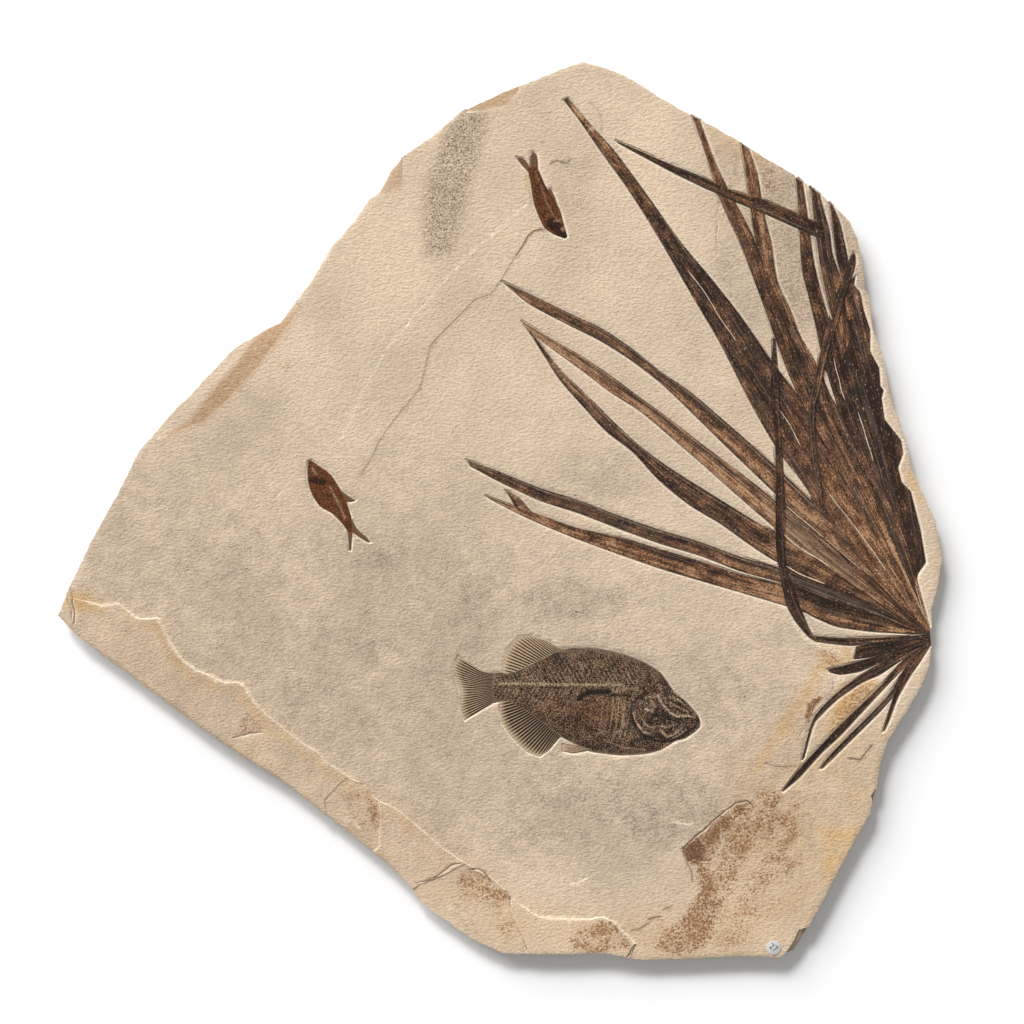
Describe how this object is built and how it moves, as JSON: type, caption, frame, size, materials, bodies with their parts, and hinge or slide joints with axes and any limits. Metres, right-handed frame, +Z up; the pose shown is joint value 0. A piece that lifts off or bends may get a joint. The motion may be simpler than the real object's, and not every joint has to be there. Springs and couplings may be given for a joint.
{
  "type": "fossil palm frond with fish",
  "caption": "Broken slab of cream limestone lying flat, with a dark fan-shaped fossil palm leaf and fossil fish in shallow prepared recesses, and a small paper dot.",
  "frame": {"origin": "middle of the slab's outline box, on the plane it lies on", "axes": "+Z up out of the fossil face, +X to the side where the palm leaf's base is, +Y to the narrow top end"},
  "size_m": [1.0186, 1.0344, 0.0212],
  "materials": {
    "limestone": "matt, finely scribed cream laminated limestone",
    "fossil_leaf": "dark brown carbon film on stone, fine lengthwise fibres",
    "fossil_fish": "dark brown fossil bone and scales, slight sheen",
    "fossil_small_fish": "red-brown fossil bone, slight sheen",
    "paper": "matt white paper"
  },
  "bodies": {
    "root": {"stone_slab": "limestone", "palm_frond": "fossil_leaf", "large_fish": "fossil_fish", "small_fish_upper": "fossil_small_fish", "small_fish_lower": "fossil_small_fish", "paper_label": "paper"}
  },
  "joints": []
}
